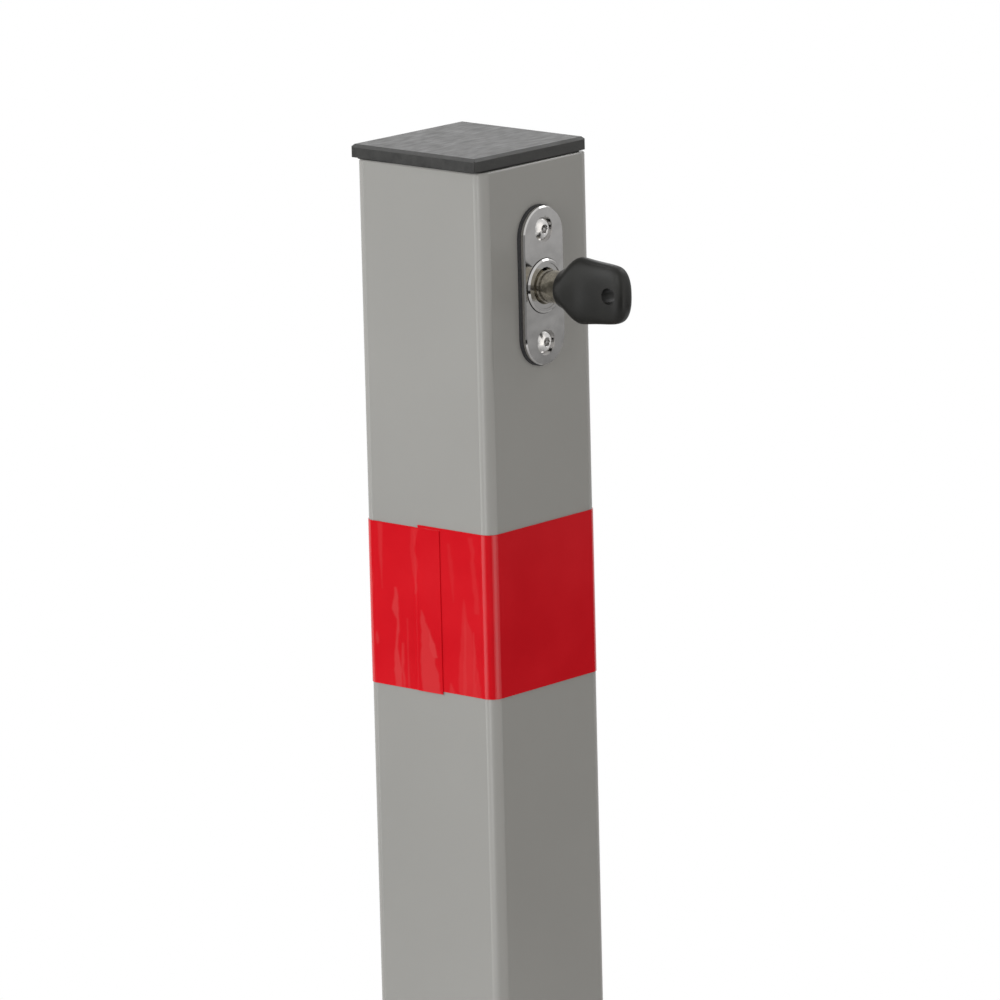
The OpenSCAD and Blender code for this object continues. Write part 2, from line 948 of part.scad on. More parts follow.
// Rivets with a domed head in front and a flat head formed behind the rod
module yoke_rivets() {
    head_d = 6.4;
    head_t = 1.1;
    tail_out = 0.6;
    color(zinc)
        for (drop = rivet_drop)
            translate([0, 0, slot_z - drop]) {
                bar_y(rivet_d, yoke_y - eps, -rod_front + rod_d / 2 + tail_out);
                translate([0, yoke_y, 0])
                    rotate([90, 0, 0])
                        cylinder(d1 = head_d, d2 = head_d - 2, h = head_t);
            }
}

// Bolt with a bored top for the rod and a tapered nose
module lock_bolt() {
    nose = 1.2;
    color(zinc)
        translate([0, -rod_front, bolt_tip_z])
            difference() {
                union() {
                    translate([0, 0, nose])
                        cylinder(d = bolt_d, h = bolt_len - nose);
                    cylinder(d1 = bolt_d - 2 * nose, d2 = bolt_d, h = nose + eps);
                }
                translate([0, 0, bolt_len - socket_depth])
                    cylinder(d = rod_d + 2 * seat, h = socket_depth + 1);
                translate([0, 0, bolt_len - socket_depth / 2])
                    bar_x(bolt_pin_d + 2 * seat, -bolt_d, bolt_d);
            }
}

module bolt_pin() {
    color(zinc)
        translate([0, -rod_front, bolt_top_z - socket_depth / 2])
            bar_x(bolt_pin_d, 0.2 - bolt_d / 2, bolt_d / 2 - 0.2);
}

// Hollow key barrel: seven cuts round its end, one lug, and a tang for the moulded grip
module key_barrel() {
    cuts = [1.4, 0.8, 2.0, 1.1, 1.7, 0.8, 1.4];
    cut_d = 2.2;
    wall = 1;
    bore_l = 11;
    lug_back = 4.5;
    color(nickel)
        at_lock() {
            difference() {
                union() {
                    bar_y(key_d, barrel_tail_y, key_tip_y);
                    bar_y(tang_d, tang_y, barrel_tail_y + eps);
                }
                bar_y(key_d - 2 * wall, key_tip_y - bore_l, key_tip_y + 1);
                for (k = [0:tumblers - 1])
                    rotate([0, (k + 0.5) * 360 / tumblers, 0])
                        translate([0, 0, key_d / 2 + 0.4])
                            bar_y(cut_d, key_tip_y - cuts[k], key_tip_y + 1);
            }
            translate([-lug_w / 2, key_tip_y - lug_back, key_d / 2 - 0.5])
                cube([lug_w, 2, 0.5 + lug_h]);
        }
}

// Moulded grip: a turned form, thinned from both sides so that its round collar
// flares into a flat bow, with its four long edges taken off and a ring hole
module key_bow() {
    collar_r = key_d / 2 + 1;
    collar_len = 1.6;
    half_h = bow_h / 2;
    half_t = bow_t / 2;
    flare = 7.4;
    end_bevel = 1.3;
    long_edges = (half_h + half_t - 2.2) * sqrt(2);
    turned = [[0, 0], [collar_r - 0.4, 0], [collar_r, 0.4], [collar_r + 0.2, collar_len],
              [half_h - 0.9, flare - 2.2], [half_h, flare], [half_h - 1.1, bow_len - 4],
              [half_h - 2.6, bow_len - end_bevel], [half_h - 4.6, bow_len], [0, bow_len]];
    side = [[collar_r + 0.3, 1], [collar_r + 0.3, -collar_len], [half_t, -flare - 2],
            [half_t, end_bevel - bow_len], [half_t - end_bevel, -bow_len],
            [half_t - end_bevel, -bow_len - 1]];
    other_side = [for (k = [len(side) - 1:-1:0]) [-side[k].x, side[k].y]];
    color(black_plastic)
        translate([0, bow_y, lock_z])
            difference() {
                intersection() {
                    rotate([90, 0, 0])
                        rotate_extrude()
                            polygon(turned);
                    translate([0, 0, -bow_h])
                        linear_extrude(2 * bow_h)
                            polygon(concat(side, other_side));
                    rotate([0, 45, 0])
                        cube([long_edges, 3 * bow_len, long_edges], center = true);
                }
                bar_y(key_d + 2 * seat, barrel_tail_y - bow_y - seat, 1);
                bar_y(tang_d + 2 * seat, tang_y - bow_y - seat, barrel_tail_y - bow_y);
                translate([0, ring_inset - bow_len, 0])
                    bar_x(ring_hole_d, -bow_t, bow_t);
            }
}

base_plate();
cheek_left();
cheek_right();
keeper_bar();
base_welds();
pivot_bolt();
pivot_nut();
pivot_washers();
pivot_sleeve();
post_tube();
pivot_bushes();
guide_block();
guide_screws();
rod_guide();
red_tape();
top_cap();
lock_gasket();
lock_plate();
lock_plate_screws();
lock_housing();
lock_plug();
tumbler_pins();
cam();
crank_pin();
cam_screw();
lock_rod();
yoke();
yoke_rivets();
lock_bolt();
bolt_pin();
key_barrel();
key_bow();
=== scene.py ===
# %% [markdown]
# A fold-down parking post, seen close up at its lock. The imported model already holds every
# solid at its real size, in metres, so this lesson only dresses it: it finishes the surfaces,
# makes a few pieces again that need a finer mesh than a solid model has, and lights the whole.

# %% Load the model
import json
import math
import bmesh
import bpy
from mathutils import Matrix, Vector, noise


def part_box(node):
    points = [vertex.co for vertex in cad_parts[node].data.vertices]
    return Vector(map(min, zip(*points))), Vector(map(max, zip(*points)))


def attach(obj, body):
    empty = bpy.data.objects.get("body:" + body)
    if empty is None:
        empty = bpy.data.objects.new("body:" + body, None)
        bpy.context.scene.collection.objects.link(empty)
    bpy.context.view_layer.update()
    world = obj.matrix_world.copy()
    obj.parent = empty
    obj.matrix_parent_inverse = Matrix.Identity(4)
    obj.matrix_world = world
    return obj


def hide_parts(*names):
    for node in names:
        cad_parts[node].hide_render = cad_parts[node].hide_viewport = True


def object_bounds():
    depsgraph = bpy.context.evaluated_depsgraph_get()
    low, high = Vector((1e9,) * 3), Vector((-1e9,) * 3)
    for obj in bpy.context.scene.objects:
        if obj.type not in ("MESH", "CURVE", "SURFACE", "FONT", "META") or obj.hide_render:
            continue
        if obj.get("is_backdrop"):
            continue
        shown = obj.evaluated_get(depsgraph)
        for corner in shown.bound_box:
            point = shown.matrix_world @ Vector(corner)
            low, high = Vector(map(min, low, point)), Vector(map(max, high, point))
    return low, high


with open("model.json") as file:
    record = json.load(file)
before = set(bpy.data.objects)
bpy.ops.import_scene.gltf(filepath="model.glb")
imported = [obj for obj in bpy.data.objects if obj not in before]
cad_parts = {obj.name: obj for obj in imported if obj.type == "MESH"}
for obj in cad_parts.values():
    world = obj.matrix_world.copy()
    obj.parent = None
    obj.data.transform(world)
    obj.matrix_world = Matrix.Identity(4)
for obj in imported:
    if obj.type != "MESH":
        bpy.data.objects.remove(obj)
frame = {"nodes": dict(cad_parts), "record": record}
cad_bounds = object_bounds()
nodes = frame["nodes"]
MM = 0.001
print("pieces in the model:", len(nodes))

# %% [markdown]
# The camera stands about two and a half metres away with a long lens, as for a product
# close-up. It could be turned by hand until the picture fits, but four plain values say it
# better: where it aims, from which side, how high, and how far it is tilted.

# %% Camera
AIM = Vector((3.86, -4.52, 589.4)) * MM
CAMERA_SIDE = math.radians(-49.476)
CAMERA_HEIGHT = math.radians(12.133)
CAMERA_TILT = math.radians(-1.394)
CAMERA_DISTANCE = 2.5263
LENS_MM = 300.6


def make_camera():
    level = Vector((math.sin(CAMERA_SIDE), -math.cos(CAMERA_SIDE), 0))
    back = level * math.cos(CAMERA_HEIGHT) + Vector((0, 0, math.sin(CAMERA_HEIGHT)))
    data = bpy.data.cameras.new("close_up")
    data.lens = LENS_MM
    data.clip_end = 50
    camera = bpy.data.objects.new("close_up", data)
    bpy.context.scene.collection.objects.link(camera)
    camera.location = AIM + back * CAMERA_DISTANCE
    camera.rotation_euler = back.to_track_quat("Z", "Y").to_euler()
    camera.rotation_euler.rotate_axis("Z", CAMERA_TILT)
    bpy.context.scene.camera = camera
    return camera


camera = make_camera()
bpy.context.scene.view_settings.view_transform = "Standard"
print("camera stands at", [round(c, 3) for c in camera.location])

# %% [markdown]
# Every finish below starts from the same kind of shader. Building each one from single nodes
# would repeat the same lines ten times, so a few small helpers do it: one makes the material and
# hands back its shader, one adds a noise pattern, and the others lead the pattern to the colour,
# the roughness or the surface. The noise is measured on the object itself, so that it stays on
# the piece when the post folds.

# %% Helpers for finishes
def new_finish(name, colour, roughness, metallic=0.0):
    material = bpy.data.materials.new(name)
    material.use_nodes = True
    shader = material.node_tree.nodes["Principled BSDF"]
    shader.inputs["Base Color"].default_value = (*colour, 1)
    shader.inputs["Roughness"].default_value = roughness
    shader.inputs["Metallic"].default_value = metallic
    return material, shader


def object_noise(material, scale, detail=2.0, stretch=(1, 1, 1)):
    tree = material.node_tree
    place = tree.nodes.new("ShaderNodeTexCoord")
    mapping = tree.nodes.new("ShaderNodeMapping")
    mapping.inputs["Scale"].default_value = stretch
    pattern = tree.nodes.new("ShaderNodeTexNoise")
    pattern.inputs["Scale"].default_value = scale
    pattern.inputs["Detail"].default_value = detail
    tree.links.new(place.outputs["Object"], mapping.inputs["Vector"])
    tree.links.new(mapping.outputs["Vector"], pattern.inputs["Vector"])
    return pattern.outputs["Fac"]


def spread(material, source, low, high, socket):
    """Turns a pattern of 0.3 to 0.7 into numbers from low to high on the shader's socket."""
    tree = material.node_tree
    span = tree.nodes.new("ShaderNodeMapRange")
    span.inputs["From Min"].default_value = 0.3
    span.inputs["From Max"].default_value = 0.7
    span.inputs["To Min"].default_value = low
    span.inputs["To Max"].default_value = high
    tree.links.new(source, span.inputs["Value"])
    tree.links.new(span.outputs["Result"], socket)


def two_tones(material, source, dark, light, socket):
    """Blends two close colours by a pattern."""
    tree = material.node_tree
    ramp = tree.nodes.new("ShaderNodeValToRGB")
    ramp.color_ramp.elements[0].position = 0.3
    ramp.color_ramp.elements[0].color = (*dark, 1)
    ramp.color_ramp.elements[1].position = 0.7
    ramp.color_ramp.elements[1].color = (*light, 1)
    tree.links.new(source, ramp.inputs["Fac"])
    tree.links.new(ramp.outputs["Color"], socket)


def bump(material, shader, sources):
    """Chains bumps, each given as a pattern, a strength and a depth in millimetres."""
    tree = material.node_tree
    before = None
    for source, strength, depth in sources:
        node = tree.nodes.new("ShaderNodeBump")
        node.inputs["Strength"].default_value = strength
        node.inputs["Distance"].default_value = depth * MM
        tree.links.new(source, node.inputs["Height"])
        if before:
            tree.links.new(before.outputs["Normal"], node.inputs["Normal"])
        before = node
    tree.links.new(before.outputs["Normal"], shader.inputs["Normal"])


def shade(tone, factor):
    return tuple(min(1, c * factor) for c in tone)


finishes = {}


# %% [markdown]
# The tube and the base are powder coated steel. One flat grey would do from afar, but close up
# the coat has a faint orange peel about a millimetre across, and its gloss wanders a little over
# the length of the post. So three noises of different size share the work: clouds for colour
# and gloss, peel and grains for the surface.

# %% Grey powder coat
GREY = (0.376, 0.371, 0.352)


def grey_powder_coat():
    material, shader = new_finish("grey powder coat", GREY, 0.36)
    shader.inputs["Specular IOR Level"].default_value = 0.32
    clouds = object_noise(material, 9, 3)
    two_tones(material, clouds, shade(GREY, 0.965), shade(GREY, 1.03),
              shader.inputs["Base Color"])
    spread(material, clouds, 0.21, 0.28, shader.inputs["Roughness"])
    peel = object_noise(material, 700, 1)
    grains = object_noise(material, 2600, 1)
    bump(material, shader, [(peel, 0.22, 0.06), (grains, 0.15, 0.02)])
    return material


finishes["grey_paint"] = grey_powder_coat()
print("grey paint:", GREY)

# %% [markdown]
# The cap, the key's grip and the foot block are black mouldings with a fine spark-eroded
# texture, which spreads the light of a bright room into a soft grey sheen at low angles. The
# texture could be modelled, but its pits are a tenth of a millimetre wide, so it is a bump. The
# grip is handled all day, so it is smoother than the cap, and its colour is painted darker than
# the cap's as painted shade.

# %% Black mouldings and rubber
def black_moulding():
    material, shader = new_finish("black moulding", (0.022, 0.022, 0.021), 0.44)
    shader.inputs["Specular IOR Level"].default_value = 0.42
    streaks = object_noise(material, 330, 4, (0.5, 1.5, 1))
    two_tones(material, streaks, (0.018, 0.018, 0.017), (0.03, 0.03, 0.028),
              shader.inputs["Base Color"])
    spread(material, streaks, 0.38, 0.52, shader.inputs["Roughness"])
    leather = object_noise(material, 900, 3, (0.7, 1.2, 1))
    grain = object_noise(material, 1900, 2)
    bump(material, shader, [(leather, 0.35, 0.12), (grain, 0.35, 0.05)])
    return material


def grip_moulding_painted_shade():
    # The grip's colour is darker than the cap's as painted shade.
    material, shader = new_finish("grip moulding in painted shade", (0.012, 0.012, 0.011), 0.4)
    shader.inputs["Specular IOR Level"].default_value = 0.26
    clouds = object_noise(material, 90, 3)
    two_tones(material, clouds, (0.009, 0.009, 0.008), (0.016, 0.016, 0.014),
              shader.inputs["Base Color"])
    spread(material, clouds, 0.34, 0.48, shader.inputs["Roughness"])
    bump(material, shader, [(object_noise(material, 1300, 2), 0.25, 0.04)])
    return material


def gasket_rubber():
    material, shader = new_finish("gasket rubber", (0.03, 0.03, 0.032), 0.72)
    grain = object_noise(material, 1500, 2)
    two_tones(material, grain, (0.022, 0.022, 0.024), (0.04, 0.04, 0.042),
              shader.inputs["Base Color"])
    bump(material, shader, [(grain, 0.3, 0.04)])
    return material


def natural_nylon():
    material, shader = new_finish("natural nylon", (0.75, 0.73, 0.66), 0.5)
    clouds = object_noise(material, 120, 2)
    two_tones(material, clouds, (0.70, 0.68, 0.60), (0.78, 0.76, 0.69),
              shader.inputs["Base Color"])
    bump(material, shader, [(object_noise(material, 1200, 1), 0.2, 0.03)])
    return material


finishes["black_plastic"] = black_moulding()
finishes["grip_plastic"] = grip_moulding_painted_shade()
finishes["gasket_rubber"] = gasket_rubber()
finishes["natural_nylon"] = natural_nylon()
print("finishes so far:", len(finishes))

# %% [markdown]
# The bare metals differ mostly in how blurred their reflections are. Chrome is the sharpest,
# nickel is warmer, softer and stained by use, and zinc plate has a fine cloudy grain. Each could
# have a material of its own, but one function with a few numbers keeps them alike where they
# are alike. A slow wave bends the reflections of plated parts, because plate is never quite flat.

# %% Bare metals
METALS = {
    # name, colour, least and most roughness, scale and depth of the grain, stain, scale of wave
    "zinc_steel": ("zinc plate", (0.56, 0.57, 0.58), 0.3, 0.42, 420, 0.03, 0.94, None),
    "polished_steel": ("polished steel", (0.55, 0.54, 0.53), 0.2, 0.3, 700, 0.03, 0.94, None),
    "polished_chrome": ("polished chrome", (0.52, 0.51, 0.5), 0.06, 0.16, 220, 0.03, 0.9, 90),
    "nickel": ("nickel plate", (0.44, 0.41, 0.34), 0.14, 0.26, 480, 0.05, 0.45, 160),
}


def metal(name, colour, smooth, rough, grain_scale, depth, stain, wave):
    """Metal whose grain varies its gloss, darkened by stain and bent by a wave if it has one."""
    material, shader = new_finish(name, colour, smooth, 1.0)
    grain = object_noise(material, grain_scale, 3)
    spread(material, grain, smooth, rough, shader.inputs["Roughness"])
    two_tones(material, grain, shade(colour, stain), shade(colour, 1.04),
              shader.inputs["Base Color"])
    uneven = [(grain, 0.2, depth)]
    if wave:
        uneven.append((object_noise(material, wave, 2), 0.5, 0.2))
    bump(material, shader, uneven)
    return material


for slot, row in METALS.items():
    finishes[slot] = metal(*row)
print("metals:", ", ".join(METALS))

# %% [markdown]
# The tape is a glossy film over a deep red backing. Where the film has lifted, the red is
# painted paler: partly the real paling of film lifted off its backing, partly a painted highlight
# for the gloss on the blisters. Painting those places by hand would work for one picture, but a
# value stored on each point of the mesh, from how far the film lifts there, fits from any side.

# %% Red tape film
TAPE_RED = (0.72, 0.008, 0.016)
# Paler red where the film has lifted: partly the real paling of lifted film, partly a painted
# highlight of the gloss on the blisters.
PALE_RED_AND_SHEEN = (0.74, 0.045, 0.05)


def red_film():
    material, shader = new_finish("red film", TAPE_RED, 0.12)
    shader.inputs["Specular IOR Level"].default_value = 0.38
    tree = material.node_tree
    # The lift stored on each point paints the red paler, partly as a painted highlight.
    air_and_sheen = tree.nodes.new("ShaderNodeAttribute")
    air_and_sheen.attribute_name = "air_and_sheen"
    mix = tree.nodes.new("ShaderNodeMixRGB")
    clouds = object_noise(material, 45, 3)
    two_tones(material, clouds, shade(TAPE_RED, 0.95), shade(TAPE_RED, 1.04), mix.inputs["Color1"])
    mix.inputs["Color2"].default_value = (*PALE_RED_AND_SHEEN, 1)
    tree.links.new(air_and_sheen.outputs["Fac"], mix.inputs["Fac"])
    tree.links.new(mix.outputs["Color"], shader.inputs["Base Color"])
    spread(material, clouds, 0.09, 0.16, shader.inputs["Roughness"])
    ripple = object_noise(material, 150, 2, (1, 1, 0.3))
    bump(material, shader, [(ripple, 0.25, 0.04)])
    return material


finishes["red_tape"] = red_film()
print("red film:", TAPE_RED, "and", PALE_RED_AND_SHEEN, "where it has lifted")

# %% [markdown]
# Now every solid gets its finish. They could be assigned by hand, but the model's record names a
# finish for each piece, so one loop dresses all of them, and a new piece can't be forgotten.

# %% Put the finishes on the model's own pieces
slot_of = {entry["node"]: entry["material_slot"] for entry in frame["record"]["subparts"]}
for name, piece in nodes.items():
    piece.data.materials.clear()
    piece.data.materials.append(finishes[slot_of[name]])
print("dressed", len(nodes), "pieces in", len(finishes), "finishes")

# %% [markdown]
# Sawn and moulded edges are never razor sharp, and a narrow bevel is what catches the light
# along a rim. Three modifiers make it without touching the solid's own mesh: one joins the
# points that the file keeps apart, one turns each flat back into a single face, so that the
# last one, which rounds the edges, meets no triangles on the way.

# %% Soft edges
JOIN_GAP = 0.002 * MM
SAME_FLAT = math.radians(0.5)
EDGE_WIDTHS = {
    # width in mm, segments, and the angle from which an edge counts as one
    "base_plate": (0.6, 2, 50),
    "cheek_left": (0.5, 2, 50),
    "cheek_right": (0.5, 2, 50),
    "keeper_bar": (0.5, 2, 50),
    "top_cap": (0.25, 3, 30),
    "post_tube": (0.35, 3, 50),
}


def soften(name, width_mm, segments, angle):
    joined = nodes[name].modifiers.new("joined points", "WELD")
    joined.merge_threshold = JOIN_GAP
    flat = nodes[name].modifiers.new("whole flats", "DECIMATE")
    flat.decimate_type = "DISSOLVE"
    flat.angle_limit = SAME_FLAT
    rounded = nodes[name].modifiers.new("soft edge", "BEVEL")
    rounded.width = width_mm * MM
    rounded.segments = segments
    rounded.limit_method = "ANGLE"
    rounded.angle_limit = math.radians(angle)
    rounded.harden_normals = True


for name, edge in EDGE_WIDTHS.items():
    soften(name, *edge)
print("soft edges on:", ", ".join(EDGE_WIDTHS))

# %% [markdown]
# New pieces are plain meshes built from points and faces. This helper links one, smooths it
# up to a given angle between faces, so that true edges stay sharp, gives it a finish and lets it
# ride on the body that carries it. A second helper lists the faces of a sheet of points, which
# every new piece below is made of.

# %% Helper for new pieces
def make_piece(name, points, faces, slot, body, smooth_angle):
    mesh = bpy.data.meshes.new(name)
    mesh.from_pydata([tuple(p) for p in points], [], faces)
    mesh.validate()
    build = bmesh.new()
    build.from_mesh(mesh)
    bmesh.ops.recalc_face_normals(build, faces=build.faces)
    limit = math.radians(smooth_angle)
    for edge in build.edges:
        edge.smooth = len(edge.link_faces) == 2 and edge.calc_face_angle() < limit
    for face in build.faces:
        face.smooth = True
    build.to_mesh(mesh)
    build.free()
    mesh.materials.append(finishes[slot])
    piece = bpy.data.objects.new(name, mesh)
    bpy.context.scene.collection.objects.link(piece)
    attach(piece, body)
    return piece


def grid_faces(columns, rows, first=0, closed=False):
    """Faces of a sheet of points stored row by row, with columns points in each row."""
    faces = []
    last = columns if closed else columns - 1
    for r in range(rows - 1):
        for c in range(last):
            a = first + r * columns + c
            b = first + r * columns + (c + 1) % columns
            faces.append((a, b, b + columns, a + columns))
    return faces


# %% [markdown]
# The tape goes once round the tube and ends over its own start, a little lower. It could be a
# box with a bump map, but its edges, its overlap and the long shallow blisters on the left
# face show in profile and in the gloss. So it is laid as a fine sheet of points along the
# tube's outline, raised here and there, and closed from behind.

# %% Outline of the tube
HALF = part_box("post_tube")[1].x
CORNER = 3.5 * MM
FLAT = 2 * (HALF - CORNER)
ARC = math.pi / 2 * CORNER
LOOP = 4 * (FLAT + ARC)
TAPE_START = 3.5 * MM
TAPE_END = 5.2 * MM
TAPE_FILM = 0.27 * MM
TAPE_LAP = 0.3 * MM
TAPE_CREEP = 0.85 * MM
TAPE_W = 50.4 * MM
TAPE_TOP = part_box("red_tape")[1].z
RUN = LOOP + TAPE_START + TAPE_END


def outline(distance):
    """Place and outward direction on the tube, starting behind the middle of the left face."""
    s = (distance - TAPE_START + FLAT / 2) % LOOP
    side = int(s // (FLAT + ARC))
    along = s - side * (FLAT + ARC)
    angle = max(0, along - FLAT) / CORNER
    out = Vector((math.sin(angle), -math.cos(angle), 0))
    place = Vector((min(along, FLAT) - FLAT / 2, -FLAT / 2, 0)) + out * CORNER
    turn = Matrix.Rotation(math.radians(90 * side - 90), 3, "Z")
    return turn @ place, turn @ out


print("tape runs", round(RUN / MM, 1), "mm round a loop of", round(LOOP / MM, 1), "mm")

# %% [markdown]
# Blisters form where the film was pressed on from one side: upright, narrow, and longer than
# they are wide. Noise alone would give round blobs all over. So each blister is written as a few
# levels above the tape's foot, with the place of its left and right side at that level, counted
# from the face's back edge, and noise only makes the sides wander.

# %% Blisters of the tape
# The lift in mm where the red is painted palest, partly as a painted highlight, the width in mm
# of a blister's slope, and how fast its sides wander with the height.
FULL_AIR_AND_SHEEN = 0.03
BLISTER_SLOPE = 0.9
WANDER_SCALE = 0.16
BLISTERS = [
    # rise in mm, wander in mm, then (level, left side, right side) from the top down
    (0.014, 0.3, [(50, 5.6, 7.4), (40, 5.9, 7.1), (30, 6.6, 6.8)]),
    (0.026, 0.9, [(31, 11.8, 12.3), (27, 11.4, 12.9), (24, 10.6, 13.2), (21, 12.2, 13.0),
                  (12, 11.4, 12.6), (5, 10.6, 13.8), (0, 11.0, 13.5)]),
    (0.02, 0.5, [(14, 13.9, 14.4), (8, 13.6, 14.9), (0, 14.2, 15.0)]),
    (0.016, 0.2, [(22, 16.3, 16.6), (0, 16.2, 16.8)]),
    (0.022, 1.6, [(25, 22.1, 22.4), (21, 22.1, 24.4), (17, 22.2, 26.0), (10, 22.2, 27.8),
                  (0, 22.4, 30.0)]),
    (0.03, 1.5, [(19, 25.4, 26.0), (15, 24.8, 27.2), (11, 26.2, 27.8)]),
    (0.012, 0.9, [(30, 39.0, 39.6), (22, 38.0, 41.0), (12, 37.2, 43.2), (0, 36.2, 45.0)]),
    (0.02, 0.5, [(27, 39.2, 39.6), (16, 38.6, 39.8), (0, 37.8, 39.4)]),
    (0.018, 0.6, [(20, 42.4, 42.8), (9, 42.0, 43.2), (0, 41.8, 43.6)]),
    (0.01, 1.2, [(49, 41.4, 43.0), (38, 42.2, 44.2), (26, 43.4, 45.0)]),
    (0.012, 1.0, [(50, 19.0, 21.6), (44, 18.2, 20.8), (36, 19.4, 21.0), (30, 19.8, 20.4)]),
    (0.008, 0.8, [(46, 33.0, 34.2), (36, 33.6, 35.6), (28, 34.6, 35.0)]),
    (0.012, 0.5, [(50, 1.4, 2.6), (0, 1.6, 3.4)]),
    (0.02, 0.6, [(16, 4.0, 4.5), (14, 3.8, 5.2), (12, 4.2, 4.6)]),
    (0.016, 0.4, [(3, 33.0, 33.4), (0, 32.6, 35.0)]),
]


def soft_step(value):
    value = min(1, max(0, value))
    return value * value * (3 - 2 * value)


def blister_sides(levels, height):
    """Left and right side of a blister at a height, or None above and below it."""
    for (h1, l1, r1), (h0, l0, r0) in zip(levels, levels[1:]):
        if h0 <= height <= h1:
            t = (height - h0) / (h1 - h0)
            return l0 + (l1 - l0) * t, r0 + (r1 - r0) * t
    return None


def film_lift(across, height):
    """Lift of the film in millimetres at a place on the left face."""
    lift = 0
    for number, (rise, wander, levels) in enumerate(BLISTERS):
        sides = blister_sides(levels, height)
        if not sides:
            continue
        shift = [wander * noise.fractal(Vector((height * WANDER_SCALE, number * 7.3 + side, 0.4)),
                                        1, 2, 3) for side in (0, 3.1)]
        inside = min(across - sides[0] - shift[0] * 0.6, sides[1] + shift[1] - across)
        lift = max(lift, rise * soft_step(0.5 + inside / BLISTER_SLOPE))
    return lift


print("blisters:", len(BLISTERS), "with a rise of up to", max(b[0] for b in BLISTERS), "mm")


# %% [markdown]
# With the outline and the blisters at hand, the film is a sheet of points: columns run round the
# tube and rows run up. Where it reaches its own start it climbs over it within two millimetres,
# and it sinks a little on the way round. A second, plain sheet behind closes it, because a film
# without a back would show a hollow edge.

# %% Lay the tape
TAPE_COLUMNS = 720
TAPE_ROWS = 90
LAP_RAMP = 2.2 * MM
FILM_BACK = 0.01 * MM


def film_column(c):
    """Distance round the tube, place, outward direction and climb over the start of a column."""
    d = RUN * c / (TAPE_COLUMNS - 1)
    place, out = outline(d)
    return d, place, out, TAPE_LAP * soft_step((d - LOOP + LAP_RAMP) / LAP_RAMP)


def make_tape():
    points, air_and_sheen = [], []
    for r in range(TAPE_ROWS):
        height = r / (TAPE_ROWS - 1)
        for c in range(TAPE_COLUMNS):
            d, place, out, climb = film_column(c)
            lift = 0
            if d > LOOP - FLAT / 2 or (d < FLAT and place.x < -HALF + FILM_BACK):
                lift = film_lift((HALF - place.y) / MM, height * TAPE_W / MM)
                if d < FLAT:
                    lift *= soft_step((d - TAPE_START - TAPE_END) / MM)
            z = TAPE_TOP - TAPE_CREEP * min(1, d / LOOP) - TAPE_W * (1 - height)
            points.append(place + out * (TAPE_FILM + climb + lift * MM) + Vector((0, 0, z)))
            # How pale the red is painted here, partly a painted highlight on the blister.
            air_and_sheen.append(min(1, lift / FULL_AIR_AND_SHEEN))
    top_row = (TAPE_ROWS - 1) * TAPE_COLUMNS
    back = len(points)
    for row in (0, top_row):
        for c in range(TAPE_COLUMNS):
            d, place, out, climb = film_column(c)
            points.append(place + out * (FILM_BACK + climb) + Vector((0, 0, points[row + c].z)))
    air_and_sheen += [0] * (2 * TAPE_COLUMNS)
    faces = grid_faces(TAPE_COLUMNS, TAPE_ROWS) + grid_faces(TAPE_COLUMNS, 2, back)
    for c in range(TAPE_COLUMNS - 1):
        for front, behind in ((0, back), (top_row, back + TAPE_COLUMNS)):
            faces.append((front + c, front + c + 1, behind + c + 1, behind + c))
    for c in (0, TAPE_COLUMNS - 1):
        edge = [r * TAPE_COLUMNS + c for r in range(TAPE_ROWS)]
        faces.append(edge + [back + TAPE_COLUMNS + c, back + c])
    piece = make_piece("wrapped_tape", points, faces, "red_tape", "post", 50)
    layer = piece.data.attributes.new("air_and_sheen", "FLOAT", "POINT")
    layer.data.foreach_set("value", air_and_sheen)
    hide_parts("red_tape")
    return piece


tape = make_tape()
print("tape mesh has", len(tape.data.polygons), "faces")

# %% [markdown]
# The key's grip is moulded over the barrel: a round collar flares into a flat, thumb-sized
# bow. Rings of points along the key, round at the collar and squarer in the bow, give that
# change of section better than a box with soft edges would. The hole for a key ring is hard to
# leave open between such rings, so it is drilled through the finished grip.

# %% Key grip
key_low, key_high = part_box("key_bow")
KEY_Z = (key_low.z + key_high.z) / 2
COLLAR_Y = key_high.y
RING_HOLE = 5 * MM
RING_INSET = 5 * MM
DRILL_LENGTH = 20 * MM
GRIP_AROUND = 48
GRIP = [
    # distance from the collar's face, half height and half thickness in mm, and squareness,
    # where 2 is round
    (0.0, 5.3, 5.3, 2.0),
    (0.15, 5.7, 5.7, 2.0),
    (0.6, 6.0, 6.0, 2.0),
    (1.5, 6.2, 6.0, 2.0),
    (2.4, 6.9, 5.85, 2.05),
    (3.4, 8.0, 5.6, 2.1),
    (4.6, 9.2, 5.1, 2.2),
    (6.0, 9.95, 4.5, 2.4),
    (7.4, 10.2, 4.0, 2.6),
    (9.5, 9.95, 3.65, 2.8),
    (13.0, 9.5, 3.5, 3.0),
    (17.0, 9.2, 3.45, 3.0),
    (20.0, 8.9, 3.4, 3.0),
    (21.8, 8.4, 3.3, 3.0),
    (23.2, 7.3, 3.0, 2.8),
    (24.2, 5.4, 2.4, 2.6),
    (24.6, 3.4, 1.6, 2.4),
    (24.7, 1.2, 0.6, 2.2),
]


def grip_ring(distance, half_h, half_t, square):
    ring = []
    for k in range(GRIP_AROUND):
        angle = 2 * math.pi * k / GRIP_AROUND
        c, s = math.cos(angle), math.sin(angle)
        x = math.copysign(abs(c) ** (2 / square), c) * half_t
        z = math.copysign(abs(s) ** (2 / square), s) * half_h
        ring.append(Vector((x, 0, z)) * MM + Vector((0, COLLAR_Y - distance * MM, KEY_Z)))
    return ring


